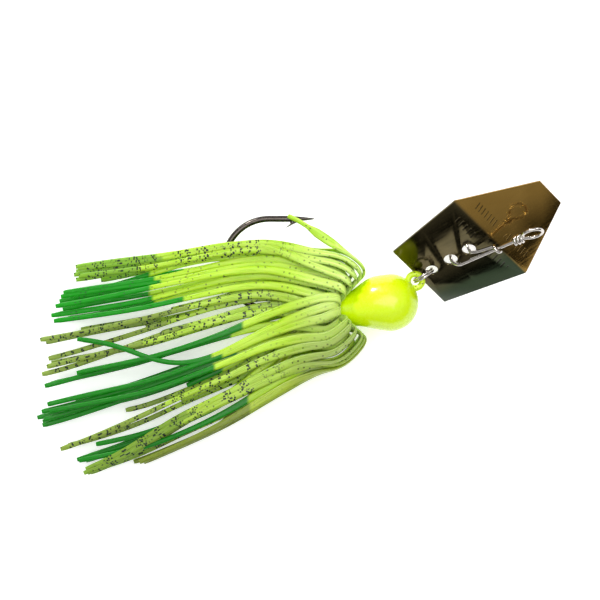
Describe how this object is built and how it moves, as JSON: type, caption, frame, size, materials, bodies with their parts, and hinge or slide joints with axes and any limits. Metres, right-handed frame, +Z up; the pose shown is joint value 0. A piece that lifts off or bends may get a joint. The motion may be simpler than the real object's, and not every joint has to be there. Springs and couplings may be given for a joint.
{
  "type": "bladed jig fishing lure",
  "caption": "Painted jig head on a hook with a silicone skirt; a bent metal blade swings on a split ring at the eye and carries a wire snap for the line.",
  "frame": {"origin": "centre of the underside of the whole lure's bounding box, on the surface the lure lies on", "axes": "+X from the skirt's tips to the blade, the longest extent; +Z up off the surface, the shortest extent; +Y from the shank towards the hook's point"},
  "size_m": [0.1024, 0.0574, 0.0195],
  "materials": {
    "black_nickel": "polished black nickel on the hook wire",
    "chartreuse_paint": "gloss powder paint on lead",
    "band_rubber": "matt",
    "nickel": "polished nickel",
    "smoked_nickel": "polished smoked nickel sheet",
    "silicone_chartreuse": "translucent silicone with dark flakes",
    "silicone_olive": "translucent silicone with dark bars",
    "silicone_green": "translucent silicone",
    "silicone_dark_olive": "mottled silicone"
  },
  "bodies": {
    "lure": {"hook": "black_nickel", "head_casting": "chartreuse_paint", "skirt_band": "band_rubber", "strand_01": "silicone_chartreuse", "strand_02": "silicone_chartreuse", "strand_03": "silicone_chartreuse", "strand_04": "silicone_chartreuse", "strand_05": "silicone_green", "strand_06": "silicone_olive", "strand_07": "silicone_green", "strand_08": "silicone_green", "strand_09": "silicone_dark_olive", "strand_10": "silicone_dark_olive", "strand_11": "silicone_chartreuse", "strand_12": "silicone_chartreuse", "strand_13": "silicone_chartreuse", "strand_14": "silicone_chartreuse", "strand_15": "silicone_chartreuse", "strand_16": "silicone_olive", "strand_17": "silicone_olive", "strand_18": "silicone_olive", "strand_19": "silicone_olive", "strand_20": "silicone_green", "strand_21": "silicone_green", "strand_22": "silicone_green", "strand_23": "silicone_dark_olive", "strand_24": "silicone_dark_olive"},
    "ring": {"split_ring": "nickel"},
    "blade": {"blade": "smoked_nickel"},
    "snap": {"snap": "nickel"}
  },
  "joints": [
    {"name": "ring_swivel", "type": "hinge", "parent": "lure", "child": "ring", "pos_m": [0.0232, 0.00938, 0.00694], "axis": [0, 0, 1], "range_deg": [-60, 30]},
    {"name": "blade_flap", "type": "hinge", "parent": "ring", "child": "blade", "pos_m": [0.02485, 0.01057, 0.00623], "axis": [-0.556, 0.8249, 0.102], "range_deg": [-55, 12]},
    {"name": "snap_swing", "type": "hinge", "parent": "blade", "child": "snap", "pos_m": [0.03187, 0.01468, 0.00909], "axis": [0.6145, -0.5673, -0.5483], "range_deg": [-3, 50]}
  ]
}
